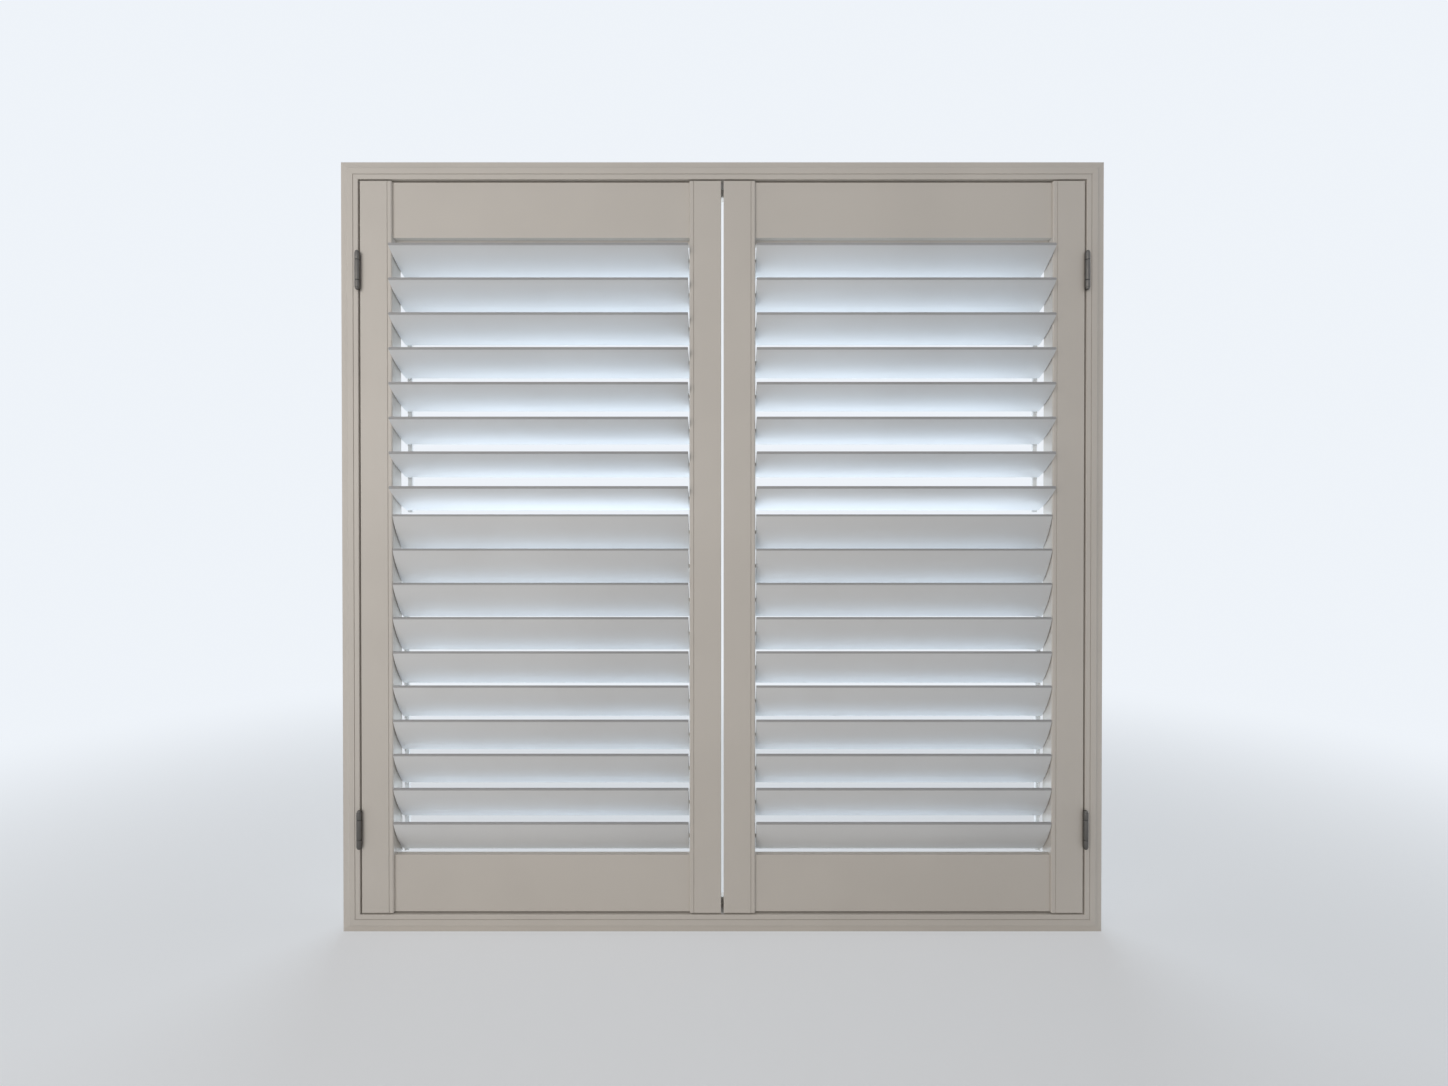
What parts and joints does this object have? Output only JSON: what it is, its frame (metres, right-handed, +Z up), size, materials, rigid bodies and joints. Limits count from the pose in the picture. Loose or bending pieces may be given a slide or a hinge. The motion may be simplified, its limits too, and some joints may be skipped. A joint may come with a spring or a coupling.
{
  "type": "louvred window shutters",
  "caption": "Pair of hinged panels of tilting lens-shaped louvres in a mitred, moulded window frame, with hidden rear tilt rods that turn upper and lower louvres apart.",
  "frame": {"origin": "on the underside of the sill, in the middle of its length, in the upright plane of the louvre pivots", "axes": "+Z up, +X to the right as seen from the room, +Y from the room to the window"},
  "size_m": [1.228, 0.0649, 1.242],
  "materials": {
    "white_paint": "satin off-white paint",
    "hinge_steel": "dull grey steel",
    "tilt_rod": "white powder coat",
    "magnet_plastic": "matt",
    "strike_steel": "plated steel"
  },
  "bodies": {
    "frame": {"frame_head": "white_paint", "frame_sill": "white_paint", "frame_jamb_left": "white_paint", "frame_jamb_right": "white_paint", "frame_hinge_leaves": "hinge_steel", "hinge_pins": "hinge_steel", "magnetic_catches": "magnet_plastic"},
    "left_panel": {"left_hinge_stile": "white_paint", "left_meeting_stile": "white_paint", "left_top_rail": "white_paint", "left_bottom_rail": "white_paint", "left_strike_plates": "strike_steel", "left_hinge_leaves": "hinge_steel"},
    "left_louvre_01": {"left_louvre_01": "white_paint"},
    "left_louvre_02": {"left_louvre_02": "white_paint"},
    "left_louvre_03": {"left_louvre_03": "white_paint"},
    "left_louvre_04": {"left_louvre_04": "white_paint"},
    "left_louvre_05": {"left_louvre_05": "white_paint"},
    "left_louvre_06": {"left_louvre_06": "white_paint"},
    "left_louvre_07": {"left_louvre_07": "white_paint"},
    "left_louvre_08": {"left_louvre_08": "white_paint"},
    "left_upper_tilt_rod": {"left_upper_tilt_rod": "tilt_rod"},
    "left_louvre_09": {"left_louvre_09": "white_paint"},
    "left_louvre_10": {"left_louvre_10": "white_paint"},
    "left_louvre_11": {"left_louvre_11": "white_paint"},
    "left_louvre_12": {"left_louvre_12": "white_paint"},
    "left_louvre_13": {"left_louvre_13": "white_paint"},
    "left_louvre_14": {"left_louvre_14": "white_paint"},
    "left_louvre_15": {"left_louvre_15": "white_paint"},
    "left_louvre_16": {"left_louvre_16": "white_paint"},
    "left_louvre_17": {"left_louvre_17": "white_paint"},
    "left_louvre_18": {"left_louvre_18": "white_paint"},
    "left_lower_tilt_rod": {"left_lower_tilt_rod": "tilt_rod"},
    "right_panel": {"right_hinge_stile": "white_paint", "right_meeting_stile": "white_paint", "right_top_rail": "white_paint", "right_bottom_rail": "white_paint", "right_strike_plates": "strike_steel", "right_hinge_leaves": "hinge_steel"},
    "right_louvre_01": {"right_louvre_01": "white_paint"},
    "right_louvre_02": {"right_louvre_02": "white_paint"},
    "right_louvre_03": {"right_louvre_03": "white_paint"},
    "right_louvre_04": {"right_louvre_04": "white_paint"},
    "right_louvre_05": {"right_louvre_05": "white_paint"},
    "right_louvre_06": {"right_louvre_06": "white_paint"},
    "right_louvre_07": {"right_louvre_07": "white_paint"},
    "right_louvre_08": {"right_louvre_08": "white_paint"},
    "right_upper_tilt_rod": {"right_upper_tilt_rod": "tilt_rod"},
    "right_louvre_09": {"right_louvre_09": "white_paint"},
    "right_louvre_10": {"right_louvre_10": "white_paint"},
    "right_louvre_11": {"right_louvre_11": "white_paint"},
    "right_louvre_12": {"right_louvre_12": "white_paint"},
    "right_louvre_13": {"right_louvre_13": "white_paint"},
    "right_louvre_14": {"right_louvre_14": "white_paint"},
    "right_louvre_15": {"right_louvre_15": "white_paint"},
    "right_louvre_16": {"right_louvre_16": "white_paint"},
    "right_louvre_17": {"right_louvre_17": "white_paint"},
    "right_louvre_18": {"right_louvre_18": "white_paint"},
    "right_lower_tilt_rod": {"right_lower_tilt_rod": "tilt_rod"}
  },
  "joints": [
    {"name": "left_panel_hinge", "type": "hinge", "parent": "frame", "child": "left_panel", "pos_m": [-0.5825, -0.0183, 0.621], "axis": [0, 0, -1], "range_deg": [0, 105]},
    {"name": "left_louvre_01_tilt", "type": "hinge", "parent": "left_panel", "child": "left_louvre_01", "pos_m": [-0.2915, 0, 1.087], "axis": [-1, 0, 0], "range_deg": [-59.5, 50.5]},
    {"name": "left_louvre_02_tilt", "type": "hinge", "parent": "left_panel", "child": "left_louvre_02", "pos_m": [-0.2915, 0, 1.032], "axis": [-1, 0, 0], "range_deg": [-59.5, 50.5]},
    {"name": "left_louvre_03_tilt", "type": "hinge", "parent": "left_panel", "child": "left_louvre_03", "pos_m": [-0.2915, 0, 0.977], "axis": [-1, 0, 0], "range_deg": [-59.5, 50.5]},
    {"name": "left_louvre_04_tilt", "type": "hinge", "parent": "left_panel", "child": "left_louvre_04", "pos_m": [-0.2915, 0, 0.922], "axis": [-1, 0, 0], "range_deg": [-59.5, 50.5]},
    {"name": "left_louvre_05_tilt", "type": "hinge", "parent": "left_panel", "child": "left_louvre_05", "pos_m": [-0.2915, 0, 0.867], "axis": [-1, 0, 0], "range_deg": [-59.5, 50.5]},
    {"name": "left_louvre_06_tilt", "type": "hinge", "parent": "left_panel", "child": "left_louvre_06", "pos_m": [-0.2915, 0, 0.812], "axis": [-1, 0, 0], "range_deg": [-59.5, 50.5]},
    {"name": "left_louvre_07_tilt", "type": "hinge", "parent": "left_panel", "child": "left_louvre_07", "pos_m": [-0.2915, 0, 0.757], "axis": [-1, 0, 0], "range_deg": [-59.5, 50.5]},
    {"name": "left_louvre_08_tilt", "type": "hinge", "parent": "left_panel", "child": "left_louvre_08", "pos_m": [-0.2915, 0, 0.702], "axis": [-1, 0, 0], "range_deg": [-59.5, 50.5]},
    {"name": "left_upper_tilt_rod_pivot", "type": "hinge", "parent": "left_louvre_01", "child": "left_upper_tilt_rod", "pos_m": [-0.5265, 0.03046, 1.06977], "axis": [-1, 0, 0], "range_deg": [-50.5, 59.5]},
    {"name": "left_louvre_09_tilt", "type": "hinge", "parent": "left_panel", "child": "left_louvre_09", "pos_m": [-0.2915, 0, 0.647], "axis": [-1, 0, 0], "range_deg": [-90, 20]},
    {"name": "left_louvre_10_tilt", "type": "hinge", "parent": "left_panel", "child": "left_louvre_10", "pos_m": [-0.2915, 0, 0.592], "axis": [-1, 0, 0], "range_deg": [-90, 20]},
    {"name": "left_louvre_11_tilt", "type": "hinge", "parent": "left_panel", "child": "left_louvre_11", "pos_m": [-0.2915, 0, 0.537], "axis": [-1, 0, 0], "range_deg": [-90, 20]},
    {"name": "left_louvre_12_tilt", "type": "hinge", "parent": "left_panel", "child": "left_louvre_12", "pos_m": [-0.2915, 0, 0.482], "axis": [-1, 0, 0], "range_deg": [-90, 20]},
    {"name": "left_louvre_13_tilt", "type": "hinge", "parent": "left_panel", "child": "left_louvre_13", "pos_m": [-0.2915, 0, 0.427], "axis": [-1, 0, 0], "range_deg": [-90, 20]},
    {"name": "left_louvre_14_tilt", "type": "hinge", "parent": "left_panel", "child": "left_louvre_14", "pos_m": [-0.2915, 0, 0.372], "axis": [-1, 0, 0], "range_deg": [-90, 20]},
    {"name": "left_louvre_15_tilt", "type": "hinge", "parent": "left_panel", "child": "left_louvre_15", "pos_m": [-0.2915, 0, 0.317], "axis": [-1, 0, 0], "range_deg": [-90, 20]},
    {"name": "left_louvre_16_tilt", "type": "hinge", "parent": "left_panel", "child": "left_louvre_16", "pos_m": [-0.2915, 0, 0.262], "axis": [-1, 0, 0], "range_deg": [-90, 20]},
    {"name": "left_louvre_17_tilt", "type": "hinge", "parent": "left_panel", "child": "left_louvre_17", "pos_m": [-0.2915, 0, 0.207], "axis": [-1, 0, 0], "range_deg": [-90, 20]},
    {"name": "left_louvre_18_tilt", "type": "hinge", "parent": "left_panel", "child": "left_louvre_18", "pos_m": [-0.2915, 0, 0.152], "axis": [-1, 0, 0], "range_deg": [-90, 20]},
    {"name": "left_lower_tilt_rod_pivot", "type": "hinge", "parent": "left_louvre_09", "child": "left_lower_tilt_rod", "pos_m": [-0.5265, 0.0175, 0.61669], "axis": [-1, 0, 0], "range_deg": [-20, 90]},
    {"name": "right_panel_hinge", "type": "hinge", "parent": "frame", "child": "right_panel", "pos_m": [0.5825, -0.0183, 0.621], "axis": [0, 0, 1], "range_deg": [0, 105]},
    {"name": "right_louvre_01_tilt", "type": "hinge", "parent": "right_panel", "child": "right_louvre_01", "pos_m": [0.2915, 0, 1.087], "axis": [-1, 0, 0], "range_deg": [-59.5, 50.5]},
    {"name": "right_louvre_02_tilt", "type": "hinge", "parent": "right_panel", "child": "right_louvre_02", "pos_m": [0.2915, 0, 1.032], "axis": [-1, 0, 0], "range_deg": [-59.5, 50.5]},
    {"name": "right_louvre_03_tilt", "type": "hinge", "parent": "right_panel", "child": "right_louvre_03", "pos_m": [0.2915, 0, 0.977], "axis": [-1, 0, 0], "range_deg": [-59.5, 50.5]},
    {"name": "right_louvre_04_tilt", "type": "hinge", "parent": "right_panel", "child": "right_louvre_04", "pos_m": [0.2915, 0, 0.922], "axis": [-1, 0, 0], "range_deg": [-59.5, 50.5]},
    {"name": "right_louvre_05_tilt", "type": "hinge", "parent": "right_panel", "child": "right_louvre_05", "pos_m": [0.2915, 0, 0.867], "axis": [-1, 0, 0], "range_deg": [-59.5, 50.5]},
    {"name": "right_louvre_06_tilt", "type": "hinge", "parent": "right_panel", "child": "right_louvre_06", "pos_m": [0.2915, 0, 0.812], "axis": [-1, 0, 0], "range_deg": [-59.5, 50.5]},
    {"name": "right_louvre_07_tilt", "type": "hinge", "parent": "right_panel", "child": "right_louvre_07", "pos_m": [0.2915, 0, 0.757], "axis": [-1, 0, 0], "range_deg": [-59.5, 50.5]},
    {"name": "right_louvre_08_tilt", "type": "hinge", "parent": "right_panel", "child": "right_louvre_08", "pos_m": [0.2915, 0, 0.702], "axis": [-1, 0, 0], "range_deg": [-59.5, 50.5]},
    {"name": "right_upper_tilt_rod_pivot", "type": "hinge", "parent": "right_louvre_01", "child": "right_upper_tilt_rod", "pos_m": [0.5265, 0.03046, 1.06977], "axis": [-1, 0, 0], "range_deg": [-50.5, 59.5]},
    {"name": "right_louvre_09_tilt", "type": "hinge", "parent": "right_panel", "child": "right_louvre_09", "pos_m": [0.2915, 0, 0.647], "axis": [-1, 0, 0], "range_deg": [-90, 20]},
    {"name": "right_louvre_10_tilt", "type": "hinge", "parent": "right_panel", "child": "right_louvre_10", "pos_m": [0.2915, 0, 0.592], "axis": [-1, 0, 0], "range_deg": [-90, 20]},
    {"name": "right_louvre_11_tilt", "type": "hinge", "parent": "right_panel", "child": "right_louvre_11", "pos_m": [0.2915, 0, 0.537], "axis": [-1, 0, 0], "range_deg": [-90, 20]},
    {"name": "right_louvre_12_tilt", "type": "hinge", "parent": "right_panel", "child": "right_louvre_12", "pos_m": [0.2915, 0, 0.482], "axis": [-1, 0, 0], "range_deg": [-90, 20]},
    {"name": "right_louvre_13_tilt", "type": "hinge", "parent": "right_panel", "child": "right_louvre_13", "pos_m": [0.2915, 0, 0.427], "axis": [-1, 0, 0], "range_deg": [-90, 20]},
    {"name": "right_louvre_14_tilt", "type": "hinge", "parent": "right_panel", "child": "right_louvre_14", "pos_m": [0.2915, 0, 0.372], "axis": [-1, 0, 0], "range_deg": [-90, 20]},
    {"name": "right_louvre_15_tilt", "type": "hinge", "parent": "right_panel", "child": "right_louvre_15", "pos_m": [0.2915, 0, 0.317], "axis": [-1, 0, 0], "range_deg": [-90, 20]},
    {"name": "right_louvre_16_tilt", "type": "hinge", "parent": "right_panel", "child": "right_louvre_16", "pos_m": [0.2915, 0, 0.262], "axis": [-1, 0, 0], "range_deg": [-90, 20]},
    {"name": "right_louvre_17_tilt", "type": "hinge", "parent": "right_panel", "child": "right_louvre_17", "pos_m": [0.2915, 0, 0.207], "axis": [-1, 0, 0], "range_deg": [-90, 20]},
    {"name": "right_louvre_18_tilt", "type": "hinge", "parent": "right_panel", "child": "right_louvre_18", "pos_m": [0.2915, 0, 0.152], "axis": [-1, 0, 0], "range_deg": [-90, 20]},
    {"name": "right_lower_tilt_rod_pivot", "type": "hinge", "parent": "right_louvre_09", "child": "right_lower_tilt_rod", "pos_m": [0.5265, 0.0175, 0.61669], "axis": [-1, 0, 0], "range_deg": [-20, 90]}
  ],
  "couplings": [
    {"joint": "left_louvre_02_tilt", "follows": "left_louvre_01_tilt", "ratio": 1},
    {"joint": "left_louvre_03_tilt", "follows": "left_louvre_01_tilt", "ratio": 1},
    {"joint": "left_louvre_04_tilt", "follows": "left_louvre_01_tilt", "ratio": 1},
    {"joint": "left_louvre_05_tilt", "follows": "left_louvre_01_tilt", "ratio": 1},
    {"joint": "left_louvre_06_tilt", "follows": "left_louvre_01_tilt", "ratio": 1},
    {"joint": "left_louvre_07_tilt", "follows": "left_louvre_01_tilt", "ratio": 1},
    {"joint": "left_louvre_08_tilt", "follows": "left_louvre_01_tilt", "ratio": 1},
    {"joint": "left_upper_tilt_rod_pivot", "follows": "left_louvre_01_tilt", "ratio": -1},
    {"joint": "left_louvre_10_tilt", "follows": "left_louvre_09_tilt", "ratio": 1},
    {"joint": "left_louvre_11_tilt", "follows": "left_louvre_09_tilt", "ratio": 1},
    {"joint": "left_louvre_12_tilt", "follows": "left_louvre_09_tilt", "ratio": 1},
    {"joint": "left_louvre_13_tilt", "follows": "left_louvre_09_tilt", "ratio": 1},
    {"joint": "left_louvre_14_tilt", "follows": "left_louvre_09_tilt", "ratio": 1},
    {"joint": "left_louvre_15_tilt", "follows": "left_louvre_09_tilt", "ratio": 1},
    {"joint": "left_louvre_16_tilt", "follows": "left_louvre_09_tilt", "ratio": 1},
    {"joint": "left_louvre_17_tilt", "follows": "left_louvre_09_tilt", "ratio": 1},
    {"joint": "left_louvre_18_tilt", "follows": "left_louvre_09_tilt", "ratio": 1},
    {"joint": "left_lower_tilt_rod_pivot", "follows": "left_louvre_09_tilt", "ratio": -1},
    {"joint": "right_louvre_02_tilt", "follows": "right_louvre_01_tilt", "ratio": 1},
    {"joint": "right_louvre_03_tilt", "follows": "right_louvre_01_tilt", "ratio": 1},
    {"joint": "right_louvre_04_tilt", "follows": "right_louvre_01_tilt", "ratio": 1},
    {"joint": "right_louvre_05_tilt", "follows": "right_louvre_01_tilt", "ratio": 1},
    {"joint": "right_louvre_06_tilt", "follows": "right_louvre_01_tilt", "ratio": 1},
    {"joint": "right_louvre_07_tilt", "follows": "right_louvre_01_tilt", "ratio": 1},
    {"joint": "right_louvre_08_tilt", "follows": "right_louvre_01_tilt", "ratio": 1},
    {"joint": "right_upper_tilt_rod_pivot", "follows": "right_louvre_01_tilt", "ratio": -1},
    {"joint": "right_louvre_10_tilt", "follows": "right_louvre_09_tilt", "ratio": 1},
    {"joint": "right_louvre_11_tilt", "follows": "right_louvre_09_tilt", "ratio": 1},
    {"joint": "right_louvre_12_tilt", "follows": "right_louvre_09_tilt", "ratio": 1},
    {"joint": "right_louvre_13_tilt", "follows": "right_louvre_09_tilt", "ratio": 1},
    {"joint": "right_louvre_14_tilt", "follows": "right_louvre_09_tilt", "ratio": 1},
    {"joint": "right_louvre_15_tilt", "follows": "right_louvre_09_tilt", "ratio": 1},
    {"joint": "right_louvre_16_tilt", "follows": "right_louvre_09_tilt", "ratio": 1},
    {"joint": "right_louvre_17_tilt", "follows": "right_louvre_09_tilt", "ratio": 1},
    {"joint": "right_louvre_18_tilt", "follows": "right_louvre_09_tilt", "ratio": 1},
    {"joint": "right_lower_tilt_rod_pivot", "follows": "right_louvre_09_tilt", "ratio": -1}
  ]
}
